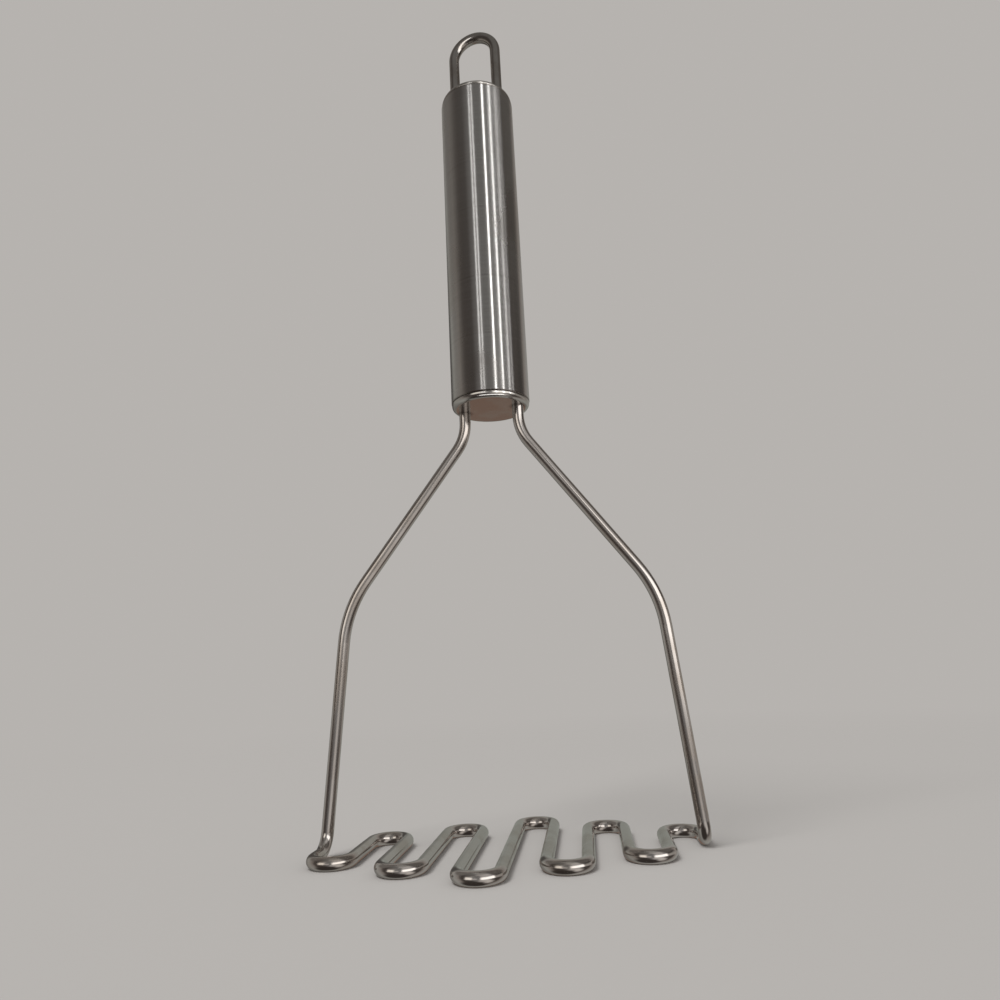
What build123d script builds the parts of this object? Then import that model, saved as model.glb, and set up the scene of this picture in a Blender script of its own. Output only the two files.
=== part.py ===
from build123d import *
from math import cos, radians, sin
import os

# Potato masher: a head of one bent wire, on a hollow handle with a hanging loop.
# It stands on its head. The origin is on the handle's axis, in the plane that the wire rests on.
# +Z runs up the handle, X runs across the two arms, and all lengths are in millimetres.

# Masher wire: two arms, and cross runs that are joined by U bends
wire_diameter = 3.6
run_pitch = 10.7
end_bend_reach = 15.0
side_bend_reach = 23.8
middle_bend_reach = 32.4
foot_bend_radius = 5.2
shoulder_half_width = 47.4
shoulder_height = 68.5
shoulder_bend_radius = 36.0
neck_to_tube = 10.2
neck_bend_radius = 15.0
arm_hole_offset = 8.9
arm_tail_length = 9.0

# Handle tube
head_to_tube = 131.2
tube_length = 111.0
tube_diameter = 25.0
tube_wall = 0.8
tube_edge_round = 0.3

# End caps: each has a rounded lip outside the tube and a skirt inside it
cap_wall = 0.8
cap_lip_setback = 0.15
cap_lip_round = 1.5
cap_lip_land = 0.15
cap_lip_edge_round = 0.35
cap_inner_round = 0.5
cap_skirt_length = 6.0
cap_skirt_clearance = 0.05
wire_hole_clearance = 0.05
cut_overrun = 1.0

# Hanging loop
loop_wire_diameter = 3.6
loop_leg_offset = 7.8
loop_height = 30.5
loop_tail_length = 7.0

# Weld beads round the wires, inside the caps
weld_leg = 1.3
weld_crown = 0.4
weld_clearance = 0.02

# Turn of the handle, with its cap holes and its loop, about its own axis against the head
handle_turn = -11.0

wire_radius = wire_diameter / 2
loop_wire_radius = loop_wire_diameter / 2
tube_radius = tube_diameter / 2
tube_inner_radius = tube_radius - tube_wall
tube_bottom = wire_radius + head_to_tube
tube_top = tube_bottom + tube_length
neck_height = head_to_tube - neck_to_tube
cap_lip_height = cap_lip_round + cap_lip_land + cap_lip_edge_round
cap_skirt_radius = tube_inner_radius - cap_skirt_clearance
cap_inner_radius = cap_skirt_radius - cap_wall
head_cap_face = tube_bottom - cap_lip_height
loop_cap_face = tube_top + cap_lip_height
head_cap_seat = head_cap_face + cap_wall
loop_cap_seat = loop_cap_face - cap_wall

# Reach of the U bends on one side of the head, from its left end to its right end
bend_reaches = [end_bend_reach, side_bend_reach, middle_bend_reach, side_bend_reach, end_bend_reach]
bend_radius = run_pitch / 2
foot_offset = run_pitch * len(bend_reaches)

# Centred on a plane's origin, and standing on the plane
on_plane = (Align.CENTER, Align.CENTER, Align.MIN)

# On a cap's plane, local Y runs into the tube from the tube's end
head_cap_plane = Plane(origin=(0, 0, tube_bottom), x_dir=(1, 0, 0), z_dir=(0, -1, 0))
loop_cap_plane = Plane(origin=(0, 0, tube_top), x_dir=(1, 0, 0), z_dir=(0, 1, 0))


def arm_corners(side):
    """Corners of the left (-1) or right (1) arm, from its tail in the handle to its first U bend.

    Heights are above the head's centre plane. The right arm is the left one after half a turn.
    """
    hole_x = arm_hole_offset * cos(radians(handle_turn))
    hole_y = arm_hole_offset * sin(radians(handle_turn))
    tail_top = head_cap_seat + arm_tail_length - wire_radius
    return [
        (side * hole_x, side * hole_y, tail_top),
        (side * hole_x, side * hole_y, neck_height),
        (side * shoulder_half_width, 0, shoulder_height),
        (side * foot_offset, 0, 0),
        (side * foot_offset, side * (end_bend_reach - bend_radius), 0),
    ]


# Half section of a pressed cap, as corners with their rounds: face, lip, seat on the tube, skirt
cap_lip_radius = tube_radius - cap_lip_setback
cap_section = {
    (0, -cap_lip_height): 0,
    (cap_lip_radius, -cap_lip_height): cap_lip_round,
    (cap_lip_radius, 0): cap_lip_edge_round,
    (cap_skirt_radius, 0): 0,
    (cap_skirt_radius, cap_skirt_length): 0,
    (cap_inner_radius, cap_skirt_length): 0,
    (cap_inner_radius, cap_wall - cap_lip_height): cap_inner_round,
    (0, cap_wall - cap_lip_height): 0,
}

# One wire: left arm, U bends with cross runs between them, right arm
arm_rounds = [neck_bend_radius, shoulder_bend_radius, foot_bend_radius]
with BuildPart() as masher_wire:
    with BuildLine(Plane.XY.offset(wire_radius)):
        FilletPolyline(*arm_corners(-1), radius=arm_rounds)
        bends = []
        for index in range(2 * len(bend_reaches)):
            reach = bend_reaches[index // 2]
            side = -1 if index % 2 == 0 else 1
            middle = -foot_offset + bend_radius + index * run_pitch
            bend_centre = (middle, side * (reach - bend_radius))
            bends.append(CenterArc(bend_centre, bend_radius, start_angle=180, arc_size=-side * 180))
        for bend, next_bend in zip(bends, bends[1:]):
            Line(bend @ 1, next_bend @ 0)
        FilletPolyline(*reversed(arm_corners(1)), radius=list(reversed(arm_rounds)))
    tail_end = Vector(*arm_corners(-1)[0]) + Vector(0, 0, wire_radius)
    with BuildSketch(Plane(origin=tail_end, z_dir=(0, 0, -1))):
        Circle(wire_radius)
    sweep()
masher_wire.part.label = "masher_wire"

# Plain tube, cut square, with its outer edges broken
with BuildPart() as handle_tube:
    with BuildSketch(Plane.XY.offset(tube_bottom)):
        Circle(tube_radius)
        Circle(tube_inner_radius, mode=Mode.SUBTRACT)
    extrude(amount=tube_length)
    end_edges = handle_tube.edges().filter_by(GeomType.CIRCLE).sort_by(SortBy.RADIUS)[-2:]
    fillet(end_edges, radius=tube_edge_round)
handle_tube.part.label = "handle_tube"

# Cap at the head's end, with a hole for each arm
with BuildPart() as head_end_cap:
    with BuildSketch(head_cap_plane):
        with BuildLine():
            FilletPolyline(*cap_section, radius=cap_section.values(), close=True)
        make_face()
    revolve(axis=Axis.Z)
    with BuildSketch(Plane.XY.offset(head_cap_seat + cut_overrun)):
        with PolarLocations(arm_hole_offset, 2, start_angle=handle_turn):
            Circle(wire_radius + wire_hole_clearance)
    extrude(amount=-(cap_wall + 2 * cut_overrun), mode=Mode.SUBTRACT)
head_end_cap.part.label = "head_end_cap"

# Cap at the loop's end, with a hole for each leg of the loop
with BuildPart() as loop_end_cap:
    with BuildSketch(loop_cap_plane):
        with BuildLine():
            FilletPolyline(*cap_section, radius=cap_section.values(), close=True)
        make_face()
    revolve(axis=Axis.Z)
    with BuildSketch(Plane.XY.offset(loop_cap_seat - cut_overrun)):
        with PolarLocations(loop_leg_offset, 2, start_angle=handle_turn):
            Circle(loop_wire_radius + wire_hole_clearance)
    extrude(amount=cap_wall + 2 * cut_overrun, mode=Mode.SUBTRACT)
loop_end_cap.part.label = "loop_end_cap"

# Arched loop, in the plane of its two legs; local Y is the height above the cap's face
loop_plane = Plane(
    origin=(0, 0, loop_cap_face),
    x_dir=(cos(radians(handle_turn)), sin(radians(handle_turn)), 0),
    z_dir=(sin(radians(handle_turn)), -cos(radians(handle_turn)), 0),
)
with BuildPart() as hanging_loop:
    leg_end = -cap_wall - loop_tail_length
    arch_start = loop_height - loop_wire_radius - loop_leg_offset
    with BuildLine(loop_plane):
        Line((-loop_leg_offset, leg_end), (-loop_leg_offset, arch_start))
        CenterArc((0, arch_start), loop_leg_offset, start_angle=180, arc_size=-180)
        Line((loop_leg_offset, arch_start), (loop_leg_offset, leg_end))
    leg_foot = loop_plane.from_local_coords((-loop_leg_offset, leg_end))
    with BuildSketch(Plane(origin=leg_foot, z_dir=(0, 0, 1))):
        Circle(loop_wire_radius)
    sweep()
hanging_loop.part.label = "hanging_loop"

# Weld beads that hold the arms' tails on the inner face of the head's cap
with BuildPart(Plane.XY.offset(head_cap_seat)) as arm_welds:
    with PolarLocations(arm_hole_offset, 2, start_angle=handle_turn):
        Cone(wire_radius + weld_leg, wire_radius + weld_crown, weld_leg, align=on_plane)
        Cylinder(wire_radius + weld_clearance, weld_leg, align=on_plane, mode=Mode.SUBTRACT)
    Cylinder(cap_inner_radius - cap_inner_round, weld_leg, align=on_plane, mode=Mode.INTERSECT)
arm_welds.part.label = "arm_welds"

# Weld beads that hold the loop's legs on the inner face of its cap
with BuildPart(Plane.XY.offset(loop_cap_seat).rotated((180, 0, 0))) as loop_welds:
    with PolarLocations(loop_leg_offset, 2, start_angle=-handle_turn):
        Cone(loop_wire_radius + weld_leg, loop_wire_radius + weld_crown, weld_leg, align=on_plane)
        Cylinder(loop_wire_radius + weld_clearance, weld_leg, align=on_plane, mode=Mode.SUBTRACT)
    Cylinder(cap_inner_radius - cap_inner_round, weld_leg, align=on_plane, mode=Mode.INTERSECT)
loop_welds.part.label = "loop_welds"

os.makedirs("parts", exist_ok=True)
export_step(masher_wire.part, "parts/masher_wire.step")
export_step(handle_tube.part, "parts/handle_tube.step")
export_step(head_end_cap.part, "parts/head_end_cap.step")
export_step(loop_end_cap.part, "parts/loop_end_cap.step")
export_step(hanging_loop.part, "parts/hanging_loop.step")
export_step(arm_welds.part, "parts/arm_welds.step")
export_step(loop_welds.part, "parts/loop_welds.step")
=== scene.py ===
from math import cos, pi, radians, sin, tan

import bmesh
import bpy
from mathutils import Matrix, Vector


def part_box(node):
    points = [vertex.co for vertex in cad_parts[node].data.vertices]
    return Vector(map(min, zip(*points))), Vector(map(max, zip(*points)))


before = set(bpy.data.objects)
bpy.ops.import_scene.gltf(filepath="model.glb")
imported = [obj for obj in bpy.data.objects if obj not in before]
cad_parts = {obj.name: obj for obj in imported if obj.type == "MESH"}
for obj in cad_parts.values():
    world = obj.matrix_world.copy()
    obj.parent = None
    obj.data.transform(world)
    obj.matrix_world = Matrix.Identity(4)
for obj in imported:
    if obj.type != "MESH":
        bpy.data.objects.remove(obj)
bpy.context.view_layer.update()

scene = bpy.context.scene
scene.view_settings.view_transform = "Standard"


# Camera. It stands close in front of the masher, a little to its right and low,
# and looks up along the handle. The lens is that of a phone, for a square image.
camera_place = (0.02410, -0.22004, 0.04890)
camera_forward = Vector((-0.09941, 0.96799, 0.23047))
camera_down = Vector((-0.07200, 0.22402, -0.97192))
camera_focal = 26.344
camera_sensor = 36.0
camera_near = 0.01
camera_far = 60.0

camera = bpy.data.objects.new("camera", bpy.data.cameras.new("camera"))
camera.data.sensor_width = camera_sensor
camera.data.lens = camera_focal
camera.data.clip_start = camera_near
camera.data.clip_end = camera_far
scene.collection.objects.link(camera)
camera_axes = Matrix((camera_down.cross(camera_forward), -camera_down, -camera_forward)).transposed()
camera.matrix_world = Matrix.LocRotScale(camera_place, camera_axes.to_quaternion(), None)
scene.camera = camera


# Floor. A plain pale matt sheet that the masher stands on. It thins out a little way off, where
# the equally pale background takes over. It casts no shadow, and polished metal doesn't see it.
floor_half = 6.0
floor_color = (0.47, 0.45, 0.43, 1.0)
floor_solid_radius = 0.16
floor_gone_radius = 0.65


def new_material(name):
    """An empty node material, with its node tree and its output."""
    material = bpy.data.materials.new(name)
    material.use_nodes = True
    tree = material.node_tree
    tree.nodes.clear()
    output = tree.nodes.new("ShaderNodeOutputMaterial")
    return material, tree, output


def add_node(tree, kind, **settings):
    """A node of one kind, with its properties and the values of its unlinked inputs set."""
    node = tree.nodes.new(kind)
    for name, value in settings.items():
        if hasattr(node, name):
            setattr(node, name, value)
        else:
            node.inputs[name.replace("_", " ").title()].default_value = value
    return node


def between(tree, value, low, high, to_low=0.0, to_high=1.0):
    """A value that goes smoothly from one level to another while its input goes from low to high."""
    ramp = add_node(tree, "ShaderNodeMapRange", interpolation_type="SMOOTHSTEP",
                    from_min=low, from_max=high, to_min=to_low, to_max=to_high)
    tree.links.new(value, ramp.inputs["Value"])
    return ramp.outputs["Result"]


floor_mesh = bpy.data.meshes.new("floor")
floor_form = bmesh.new()
bmesh.ops.create_grid(floor_form, x_segments=1, y_segments=1, size=floor_half)
floor_form.to_mesh(floor_mesh)
floor_form.free()
floor = bpy.data.objects.new("floor", floor_mesh)
floor.visible_shadow = False
floor.visible_glossy = False
scene.collection.objects.link(floor)

floor_paper, tree, output = new_material("floor_paper")
place = add_node(tree, "ShaderNodeTexCoord")
distance = add_node(tree, "ShaderNodeVectorMath", operation="LENGTH")
tree.links.new(place.outputs["Object"], distance.inputs[0])
fade = between(tree, distance.outputs["Value"], floor_solid_radius, floor_gone_radius)
paper = add_node(tree, "ShaderNodeBsdfDiffuse")
paper.inputs["Color"].default_value = floor_color
clear = add_node(tree, "ShaderNodeBsdfTransparent")
blend = add_node(tree, "ShaderNodeMixShader")
tree.links.new(fade, blend.inputs[0])
tree.links.new(paper.outputs[0], blend.inputs[1])
tree.links.new(clear.outputs[0], blend.inputs[2])
tree.links.new(blend.outputs[0], output.inputs["Surface"])
floor_mesh.materials.append(floor_paper)


# Background. The camera sees one pale tone all round, as metal and glass would without the
# cards below. The rest is lit by it as by a soft white fill, which is even from all sides.
background_color = (0.47, 0.45, 0.43, 1.0)
fill_color = (1.0, 1.0, 1.0, 1.0)
fill_strength = 0.52


def set_or_link(tree, socket, value):
    """A socket takes a fixed value, or a link from another node's output."""
    if isinstance(value, bpy.types.NodeSocket):
        tree.links.new(value, socket)
    else:
        socket.default_value = (*value, 1.0) if isinstance(value, tuple) else value


def calculate(tree, operation, *values):
    """One step of arithmetic."""
    step = add_node(tree, "ShaderNodeMath", operation=operation)
    for socket, value in zip(step.inputs, values):
        set_or_link(tree, socket, value)
    return step.outputs[0]


world = bpy.data.worlds.new("studio")
world.use_nodes = True
scene.world = world
world.cycles.sampling_method = "NONE"
tree = world.node_tree
tree.nodes.clear()
output = tree.nodes.new("ShaderNodeOutputWorld")
rays = add_node(tree, "ShaderNodeLightPath").outputs
seen = calculate(tree, "MAXIMUM", rays["Is Camera Ray"], rays["Is Glossy Ray"])
seen = calculate(tree, "MAXIMUM", seen, rays["Is Transmission Ray"])
fill = add_node(tree, "ShaderNodeBackground")
fill.inputs["Color"].default_value = fill_color
fill.inputs["Strength"].default_value = fill_strength
pale = add_node(tree, "ShaderNodeBackground")
pale.inputs["Color"].default_value = background_color
blend = add_node(tree, "ShaderNodeMixShader")
tree.links.new(seen, blend.inputs[0])
tree.links.new(fill.outputs[0], blend.inputs[1])
tree.links.new(pale.outputs[0], blend.inputs[2])
tree.links.new(blend.outputs[0], output.inputs["Surface"])


# Lamps. One broad soft lamp overhead lights the floor. Tall narrow strips in front, which the
# brushed handle shows as thin lines along it, reach only the handle and its caps. One low soft
# box picks out the caps' rounded lips, and another the upper bend of the hanging loop.
key_place = Vector((-1.6, -1.8, 4.8))
key_size = 2.4
key_power = 164.0
lamp_distance = 2.5
lamp_aim = Vector((0.0, 0.0, 0.1))
strip_foot = 0.15
strip_top = 4.6
strip_width = 0.14
strips = {  # azimuth from the front, towards the masher's right, in degrees: power in watts
    -17.4: 3.3,
    -9.4: 2.8,
    24.6: 9.5,
    46.6: 8.3,
    66.3: 4.0,
    77.0: 2.0,
}
lip_box_place = (12, -53)  # azimuth and elevation from the front, in degrees
lip_box_size = (60, 16)  # width and height as angles, in degrees
lip_box_brightness = 1.8
loop_box_place = (35, -4)
loop_box_size = (108, 26)
loop_box_brightness = 2.3


def toward_point(azimuth, elevation):
    """The direction at an azimuth and an elevation, in degrees; the front is along -Y."""
    level = cos(radians(elevation))
    return Vector((level * sin(radians(azimuth)), -level * cos(radians(azimuth)), sin(radians(elevation))))


def add_lamp(name, place, aim, width, height, power, reach):
    """A rectangular lamp that faces a point and reaches one collection. The camera doesn't see it."""
    lamp = bpy.data.lights.new(name, "AREA")
    lamp.shape = "RECTANGLE"
    lamp.size = width
    lamp.size_y = height
    lamp.energy = power
    holder = bpy.data.objects.new(name, lamp)
    holder.location = place
    holder.rotation_euler = (place - aim).to_track_quat("Z", "Y").to_euler()
    holder.visible_camera = False
    holder.light_linking.receiver_collection = reach
    scene.collection.objects.link(holder)


def add_box(name, direction, size, brightness, reach):
    """A soft box that faces the masher, with its place and size as angles, and its own brightness."""
    width, height = (2 * lamp_distance * tan(radians(angle / 2)) for angle in size)
    place = lamp_aim + toward_point(*direction) * lamp_distance
    add_lamp(name, place, lamp_aim, width, height, brightness * pi * width * height, reach)


def reach_of(name, objects):
    """A collection of objects, for lamps and cards that reach only these."""
    group = bpy.data.collections.new(name)
    for item in objects:
        group.objects.link(item)
    return group


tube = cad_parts["handle_tube"]
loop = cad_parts["hanging_loop"]
caps = [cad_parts["head_end_cap"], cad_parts["loop_end_cap"]]
key_reach = reach_of("lamps_on_floor", [floor])
add_lamp("key_lamp", key_place, lamp_aim, key_size, key_size, key_power, key_reach)
strip_reach = reach_of("lamps_on_handle", [tube, *caps])
strip_middle = Vector((0.0, 0.0, (strip_foot + strip_top) / 2))
strip_height = strip_top - strip_foot
for number, (azimuth, power) in enumerate(strips.items(), start=1):
    place = toward_point(azimuth, 0) * lamp_distance + strip_middle
    add_lamp(f"strip_lamp_{number}", place, strip_middle, strip_width, strip_height, power, strip_reach)
add_box("lip_box", lip_box_place, lip_box_size, lip_box_brightness, reach_of("lamps_on_caps", caps))
add_box("loop_box", loop_box_place, loop_box_size, loop_box_brightness, reach_of("lamps_on_loop", [loop]))


# Cards. Two large balls round the scene that only polished metal sees. The outer one gives the
# steel the dim grey and brown of a room, with a dark ring round the front. The inner one is
# clear, with soft bright patches on it that only the masher wire and the caps show.
room_radius = 5.6
glint_radius = 5.2
card_segments = 96
card_rings = 48
room_axis = Vector((0.352, -0.871, 0.342)).normalized()
room_tones = [  # angle from the axis, in degrees: colour
    (0, (0.17, 0.165, 0.16)),
    (30, (0.20, 0.195, 0.19)),
    (46, (0.17, 0.16, 0.155)),
    (58, (0.075, 0.066, 0.061)),
    (82, (0.07, 0.060, 0.054)),
    (92, (0.13, 0.115, 0.105)),
    (98, (0.25, 0.225, 0.205)),
    (106, (0.30, 0.28, 0.26)),
    (118, (0.34, 0.33, 0.31)),
    (132, (0.35, 0.35, 0.325)),
    (146, (0.25, 0.245, 0.23)),
    (165, (0.20, 0.195, 0.18)),
]
room_patches = [  # azimuth and elevation from the front, inner and outer angle, in degrees: colour
    ((0, 80), (15, 50), (0.17, 0.165, 0.155)),
    ((-105, 46), (14, 30), (0.175, 0.162, 0.15)),
    ((112, 50), (14, 30), (0.13, 0.12, 0.11)),
    ((108, 12), (7, 20), (0.035, 0.031, 0.028)),
    ((-30, -65), (26, 48), (0.045, 0.038, 0.034)),
    ((30, -12), (8, 30), (0.44, 0.42, 0.40)),
    ((52, -38), (8, 26), (0.55, 0.52, 0.49)),
    ((-150, 16), (10, 26), (0.085, 0.08, 0.075)),
    ((180, -1), (13, 24), (0.28, 0.29, 0.262)),
    ((-174, -27), (9, 16), (0.20, 0.13, 0.10)),
]
glints = [  # azimuth and elevation, half width and height, soft edge, in degrees: colour
    ((43, 14), (29, 12), 5, (1.55, 1.51, 1.46)),
    ((40, 42), (26, 15), 12, (0.30, 0.288, 0.275)),
    ((30, 64), (42, 10), 8, (0.22, 0.21, 0.20)),
    ((30, -22), (26, 13), 10, (0.16, 0.152, 0.145)),
    ((-35, 15), (14, 12), 5, (1.05, 1.00, 0.92)),
    ((-34, 36), (20, 10), 8, (0.12, 0.115, 0.105)),
    ((-10, 9), (10, 8), 6, (0.28, 0.265, 0.25)),
    ((94, 5), (28, 12), 8, (0.30, 0.285, 0.265)),
    ((0, 90), (180, 13), 6, (0.14, 0.135, 0.125)),
]


def add_card(name, radius, reach=None):
    """A ball that only glossy rays see and that lights one collection, or everything.

    It gives its node tree, its output and the direction from the middle to the shaded point.
    """
    mesh = bpy.data.meshes.new(name)
    form = bmesh.new()
    bmesh.ops.create_uvsphere(form, u_segments=card_segments, v_segments=card_rings, radius=radius)
    bmesh.ops.reverse_faces(form, faces=form.faces[:])
    form.to_mesh(mesh)
    form.free()
    card = bpy.data.objects.new(name, mesh)
    scene.collection.objects.link(card)
    card.visible_camera = False
    card.visible_diffuse = False
    card.visible_shadow = False
    card.visible_transmission = False
    card.visible_volume_scatter = False
    card.light_linking.receiver_collection = reach
    paint, tree, output = new_material(f"{name}_paint")
    paint.cycles.emission_sampling = "NONE"
    place = add_node(tree, "ShaderNodeTexCoord")
    toward = add_node(tree, "ShaderNodeVectorMath", operation="NORMALIZE")
    tree.links.new(place.outputs["Object"], toward.inputs[0])
    mesh.materials.append(paint)
    return tree, output, toward.outputs[0]


def mix_color(tree, cover, under, over, blend_type="MIX"):
    """One colour laid over another, or added to it, by a cover from 0 to 1."""
    layer = add_node(tree, "ShaderNodeMix", data_type="RGBA", blend_type=blend_type)
    set_or_link(tree, layer.inputs[0], cover)
    set_or_link(tree, layer.inputs[6], under)
    set_or_link(tree, layer.inputs[7], over)
    return layer.outputs[2]


def angle_between(tree, toward, direction):
    """The angle between a fixed direction and the one to the shaded point, in radians."""
    along = add_node(tree, "ShaderNodeVectorMath", operation="DOT_PRODUCT")
    along.inputs[1].default_value = direction
    tree.links.new(toward, along.inputs[0])
    return calculate(tree, "ARCCOSINE", along.outputs["Value"])


def within(tree, angle, middle, half, soft):
    """1 within half of a middle angle, and 0 beyond a soft edge; the numbers are in degrees."""
    off_middle = calculate(tree, "ABSOLUTE", calculate(tree, "SUBTRACT", angle, radians(middle)))
    return between(tree, off_middle, radians(half - soft), radians(half + soft), 1.0, 0.0)


tree, output, toward = add_card("room_card", room_radius)
tones = add_node(tree, "ShaderNodeValToRGB")
tones.color_ramp.interpolation = "EASE"
while len(tones.color_ramp.elements) < len(room_tones):
    tones.color_ramp.elements.new(0.5)
for stop, (angle, tone) in zip(tones.color_ramp.elements, room_tones):
    stop.position = angle / 180
    stop.color = (*tone, 1.0)
off_axis = angle_between(tree, toward, room_axis)
tree.links.new(calculate(tree, "DIVIDE", off_axis, pi), tones.inputs["Fac"])
paint = tones.outputs["Color"]
for place, (inner, outer), tone in room_patches:
    off_place = angle_between(tree, toward, toward_point(*place))
    cover = between(tree, off_place, radians(inner), radians(outer), 1.0, 0.0)
    paint = mix_color(tree, cover, paint, tone)
glow = add_node(tree, "ShaderNodeEmission")
tree.links.new(paint, glow.inputs["Color"])
tree.links.new(glow.outputs[0], output.inputs["Surface"])

glint_reach = reach_of("glints_on_wire", [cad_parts["masher_wire"], *caps])
tree, output, toward = add_card("glint_card", glint_radius, glint_reach)
parts = add_node(tree, "ShaderNodeSeparateXYZ")
tree.links.new(toward, parts.inputs[0])
forward = calculate(tree, "MULTIPLY", parts.outputs["Y"], -1.0)
turn = calculate(tree, "ARCTAN2", parts.outputs["X"], forward)
rise = calculate(tree, "ARCSINE", parts.outputs["Z"])
paint = (0.0, 0.0, 0.0)
for (azimuth, elevation), (half_width, half_height), soft, tone in glints:
    across = within(tree, turn, azimuth, half_width, soft)
    upward = within(tree, rise, elevation, half_height, soft)
    cover = calculate(tree, "MULTIPLY", across, upward)
    paint = mix_color(tree, cover, paint, tone, "ADD")
glow = add_node(tree, "ShaderNodeEmission")
tree.links.new(paint, glow.inputs["Color"])
clear = add_node(tree, "ShaderNodeBsdfTransparent")
both = add_node(tree, "ShaderNodeAddShader")
tree.links.new(glow.outputs[0], both.inputs[0])
tree.links.new(clear.outputs[0], both.inputs[1])
tree.links.new(both.outputs[0], output.inputs["Surface"])


# Masher wire. One length of hard-drawn stainless wire, 3.6 mm thick, bent cold on a former
# into two arms and ten U bends. It is tumbled and polished after bending, and use has left
# faint smears on it.
wire_color = (0.63, 0.595, 0.57)
wire_smear_color = (0.54, 0.49, 0.45)
wire_roughness = 0.13
wire_smear_roughness = 0.20
wire_smear_scale = 85.0
wire_scratch_scale = 1600.0
wire_scratch_depth = 0.00001
wire_scratch_strength = 0.04
smear_noise = (0.42, 0.66)  # levels of the noise where a smear starts and where it is full


def add_noise(tree, place, scale, detail, stretch=(1.0, 1.0, 1.0)):
    """Noise from 0 to 1 on object coordinates; its features are 1 / scale metres, times the stretch."""
    scaled = add_node(tree, "ShaderNodeMapping")
    scaled.inputs["Scale"].default_value = [scale / share for share in stretch]
    noise = add_node(tree, "ShaderNodeTexNoise", scale=1.0, detail=detail)
    tree.links.new(place, scaled.inputs["Vector"])
    tree.links.new(scaled.outputs[0], noise.inputs["Vector"])
    return noise.outputs["Fac"]


def add_bump(tree, height, depth, strength):
    """A bumped normal from a height between 0 and 1 and the depth in metres that it stands for."""
    bump = add_node(tree, "ShaderNodeBump", strength=strength, distance=depth)
    tree.links.new(height, bump.inputs["Height"])
    return bump.outputs["Normal"]


def dress(node, material):
    """A CAD node takes a material in all its slots."""
    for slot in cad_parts[node].material_slots:
        slot.material = material


def new_steel(name):
    """A steel material, with its node tree, its shader and the place of the shaded point."""
    material, tree, output = new_material(name)
    steel = add_node(tree, "ShaderNodeBsdfPrincipled", metallic=1.0)
    tree.links.new(steel.outputs[0], output.inputs["Surface"])
    place = add_node(tree, "ShaderNodeTexCoord").outputs["Object"]
    return material, tree, steel, place


def finish_steel(tree, steel, tone, roughness, normal):
    """The steel's shader takes its colour, roughness and bumped normal."""
    tree.links.new(tone, steel.inputs["Base Color"])
    tree.links.new(roughness, steel.inputs["Roughness"])
    tree.links.new(normal, steel.inputs["Normal"])


def polished_steel(name, color, smear_color, roughness, smear_roughness, smear_scale):
    """Polished wire with broad faint smears and a very fine all-over scratch."""
    material, tree, steel, place = new_steel(name)
    smear = between(tree, add_noise(tree, place, smear_scale, detail=4.0), *smear_noise)
    scratch = add_noise(tree, place, wire_scratch_scale, detail=2.0)
    tone = mix_color(tree, smear, color, smear_color)
    rough = between(tree, smear, 0.0, 1.0, roughness, smear_roughness)
    normal = add_bump(tree, scratch, wire_scratch_depth, wire_scratch_strength)
    finish_steel(tree, steel, tone, rough, normal)
    return material


wire_steel = polished_steel("polished_wire", wire_color, wire_smear_color, wire_roughness,
                            wire_smear_roughness, wire_smear_scale)
dress("masher_wire", wire_steel)


# Handle tube. Thin stainless tube, 25 mm across, cut square. A belt has brushed it round
# its circumference, so lamps draw out into lines along it. Its two ends are painted a little
# darker: painted shade in the joints with the caps, with some dirt there too.
tube_color = (0.62, 0.605, 0.585)
tube_line_color = (0.50, 0.48, 0.455)
tube_smear_color = (0.54, 0.51, 0.475)
# Painted shade, with some dirt, in the tube's joints and in the corners round the caps' wires.
painted_shade_and_dirt_color = (0.34, 0.315, 0.29)
tube_roughness = 0.23
tube_smear_roughness = 0.31
tube_brushing = 1.0
tube_brushing_turn = 0.25  # of a full turn
tube_grain_scale = 2600.0
tube_grain_stretch = (170.0, 170.0, 1.0)
tube_grain_noise = (0.35, 0.75)
tube_grain_share = 0.5
tube_grain_depth = 0.000012
tube_grain_strength = 0.10
tube_line_scale = 700.0
tube_line_stretch = (60.0, 60.0, 1.0)
tube_line_noise = (0.56, 0.72)
tube_line_share = 0.5
tube_smear_scale = 45.0
tube_smear_noise = (0.45, 0.68)
tube_smear_share = 0.6
# How far the painted shade and dirt reach from the tube's ends.
joint_shade_and_dirt_width = 0.00028
joint_shade_and_dirt_fade = 0.00014
tube_low, tube_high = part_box("handle_tube")
tube_middle = (tube_low[2] + tube_high[2]) / 2
tube_half = (tube_high[2] - tube_low[2]) / 2


def joint_shade_and_dirt(tree, place):
    """Painted shade and dirt in the joints: from 1 at both ends of the tube to 0 a little way off."""
    parts = add_node(tree, "ShaderNodeSeparateXYZ")
    tree.links.new(place, parts.inputs[0])
    from_middle = calculate(tree, "ABSOLUTE", calculate(tree, "SUBTRACT", parts.outputs["Z"], tube_middle))
    from_end = calculate(tree, "ABSOLUTE", calculate(tree, "SUBTRACT", from_middle, tube_half))
    clean = joint_shade_and_dirt_width + joint_shade_and_dirt_fade
    return between(tree, from_end, joint_shade_and_dirt_width - joint_shade_and_dirt_fade, clean, 1.0, 0.0)


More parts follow.
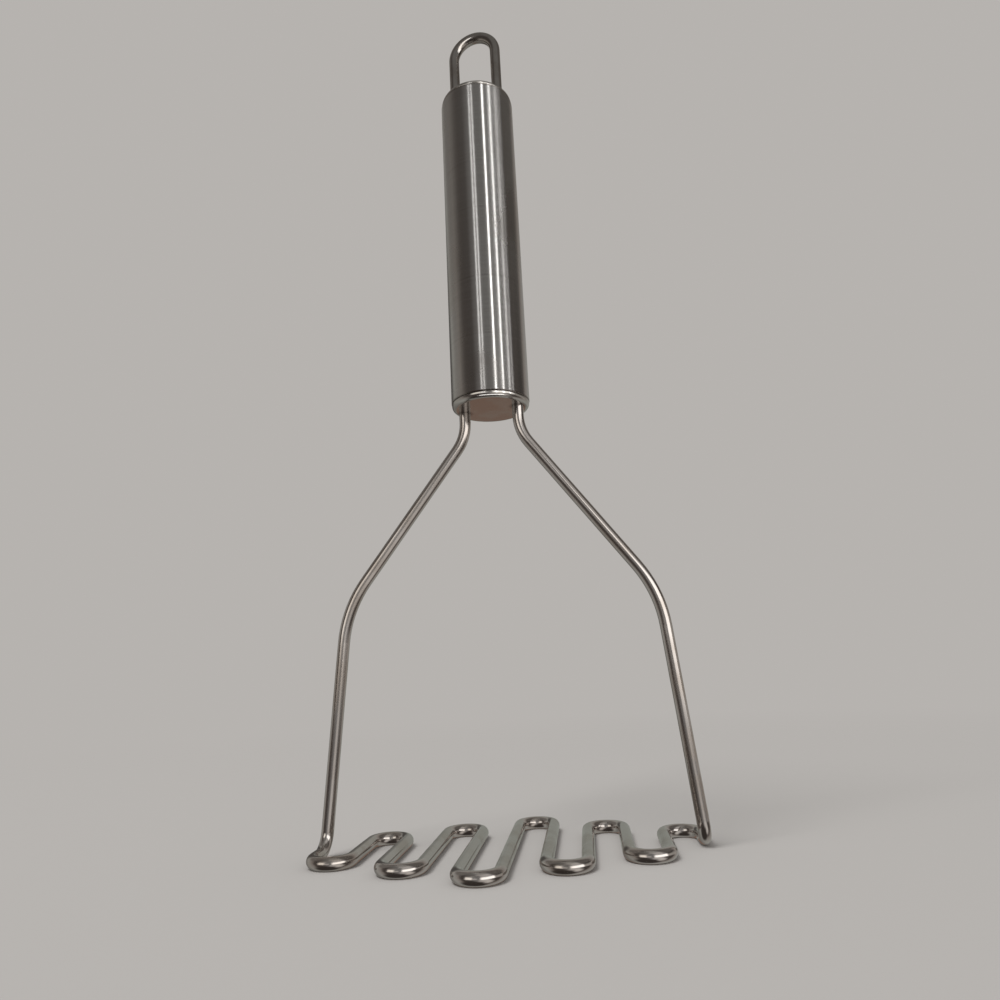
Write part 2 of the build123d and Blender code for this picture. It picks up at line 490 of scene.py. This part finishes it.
brushed_tube, tree, steel, place = new_steel("brushed_tube")
steel.inputs["Anisotropic"].default_value = tube_brushing
steel.inputs["Anisotropic Rotation"].default_value = tube_brushing_turn
around = add_node(tree, "ShaderNodeTangent", direction_type="RADIAL", axis="Z")
tree.links.new(around.outputs[0], steel.inputs["Tangent"])
grain = add_noise(tree, place, tube_grain_scale, detail=4.0, stretch=tube_grain_stretch)
lines = add_noise(tree, place, tube_line_scale, detail=3.0, stretch=tube_line_stretch)
line = between(tree, lines, *tube_line_noise)
smear = between(tree, add_noise(tree, place, tube_smear_scale, detail=4.0), *tube_smear_noise)
grain_cover = between(tree, grain, *tube_grain_noise, 0.0, tube_grain_share)
line_cover = between(tree, line, 0.0, 1.0, 0.0, tube_line_share)
smear_cover = between(tree, smear, 0.0, 1.0, 0.0, tube_smear_share)
tone = mix_color(tree, grain_cover, tube_color, tube_line_color)
tone = mix_color(tree, line_cover, tone, tube_line_color)
tone = mix_color(tree, smear_cover, tone, tube_smear_color)
# Painted shade and some dirt darken both ends of the tube.
tone = mix_color(tree, joint_shade_and_dirt(tree, place), tone, painted_shade_and_dirt_color)
rough = between(tree, smear, 0.0, 1.0, tube_roughness, tube_smear_roughness)
normal = add_bump(tree, grain, tube_grain_depth, tube_grain_strength)
finish_steel(tree, steel, tone, rough, normal)
dress("handle_tube", brushed_tube)


# End caps. Each is pressed from thin stainless sheet, with a rounded lip, and polished on a
# spindle, which leaves fine rings on its flat face. Painted shade darkens the joint with the tube,
# with some dirt there too, and the corners round the wires.
cap_color = (0.62, 0.60, 0.575)
cap_ring_color = (0.55, 0.525, 0.495)
cap_roughness = 0.15
cap_smear_roughness = 0.22
cap_ring_scale = 2400.0
cap_ring_noise = (0.35, 0.7)
cap_ring_depth = 0.000008
cap_ring_strength = 0.10
cap_smear_scale = 130.0
# Painted shade in the corners round the wires: where it ends, where it is full, and how dark.
wire_shade_clear = 0.0034
wire_shade_full = 0.0019
wire_shade_share = 0.85
wire_offsets = {"head_end_cap": 0.0089, "loop_end_cap": 0.0078}  # metres from the axis to each wire
wire_turn = radians(-11.0)


def polished_cap(name, wire_offset):
    """Polished sheet with rings round the handle's axis, painted shade and dirt in the joint, painted
    shade round two wires.
    """
    material, tree, steel, place = new_steel(name)
    flat = add_node(tree, "ShaderNodeMapping")
    flat.inputs["Scale"].default_value = (1.0, 1.0, 0.0)
    tree.links.new(place, flat.inputs["Vector"])
    radius = add_node(tree, "ShaderNodeVectorMath", operation="LENGTH")
    tree.links.new(flat.outputs[0], radius.inputs[0])
    rings = add_node(tree, "ShaderNodeTexNoise", noise_dimensions="1D", scale=cap_ring_scale, detail=3.0)
    tree.links.new(radius.outputs["Value"], rings.inputs["W"])
    ring = rings.outputs["Fac"]
    smear = between(tree, add_noise(tree, place, cap_smear_scale, detail=3.0), *smear_noise)
    cap_shade_and_dirt = joint_shade_and_dirt(tree, place)
    # Painted shade in the corners round each wire, added to that of the joint.
    for side in (-1, 1):
        hole = Vector((cos(wire_turn), sin(wire_turn), 0.0)) * side * wire_offset
        from_wire = add_node(tree, "ShaderNodeVectorMath", operation="DISTANCE")
        from_wire.inputs[1].default_value = hole
        tree.links.new(flat.outputs[0], from_wire.inputs[0])
        apart = from_wire.outputs["Value"]
        corner = between(tree, apart, wire_shade_full, wire_shade_clear, wire_shade_share, 0.0)
        cap_shade_and_dirt = calculate(tree, "MAXIMUM", cap_shade_and_dirt, corner)
    tone = mix_color(tree, between(tree, ring, *cap_ring_noise), cap_color, cap_ring_color)
    # Painted shade, and some dirt in the joint, darken the cap.
    tone = mix_color(tree, cap_shade_and_dirt, tone, painted_shade_and_dirt_color)
    rough = between(tree, smear, 0.0, 1.0, cap_roughness, cap_smear_roughness)
    finish_steel(tree, steel, tone, rough, add_bump(tree, ring, cap_ring_depth, cap_ring_strength))
    return material


for node, wire_offset in wire_offsets.items():
    dress(node, polished_cap(f"polished_{node}", wire_offset))


# Hanging loop. A short length of the same wire, bent into an arch, with both legs pushed
# through the upper cap. It is a little rougher than the arms, and its colours are painted darker, as
# painted shade.
# Painted shade: the loop's colours are darker than the arms' steel.
loop_shaded_color = (0.50, 0.475, 0.445)
loop_shaded_smear_color = (0.41, 0.375, 0.34)
loop_roughness = 0.15
loop_smear_roughness = 0.23
loop_smear_scale = 140.0

loop_steel = polished_steel("polished_loop", loop_shaded_color, loop_shaded_smear_color, loop_roughness,
                            loop_smear_roughness, loop_smear_scale)
dress("hanging_loop", loop_steel)


# Welds. Beads of steel melted round each wire where it comes through its cap, inside the
# handle. Nobody polishes them, so they stay dull, rippled and browned by the heat.
weld_color = (0.40, 0.385, 0.37)
weld_heat_color = (0.26, 0.19, 0.15)
weld_roughness = 0.42
weld_dull_roughness = 0.60
weld_ripple_scale = 1900.0
weld_ripple_depth = 0.00008
weld_ripple_strength = 0.8
weld_heat_scale = 500.0
weld_heat_noise = (0.4, 0.65)

weld_steel, tree, steel, place = new_steel("weld_steel")
ripple = add_noise(tree, place, weld_ripple_scale, detail=3.0)
heat = between(tree, add_noise(tree, place, weld_heat_scale, detail=3.0), *weld_heat_noise)
tone = mix_color(tree, heat, weld_color, weld_heat_color)
rough = between(tree, heat, 0.0, 1.0, weld_roughness, weld_dull_roughness)
normal = add_bump(tree, ripple, weld_ripple_depth, weld_ripple_strength)
finish_steel(tree, steel, tone, rough, normal)
dress("arm_welds", weld_steel)
dress("loop_welds", weld_steel)
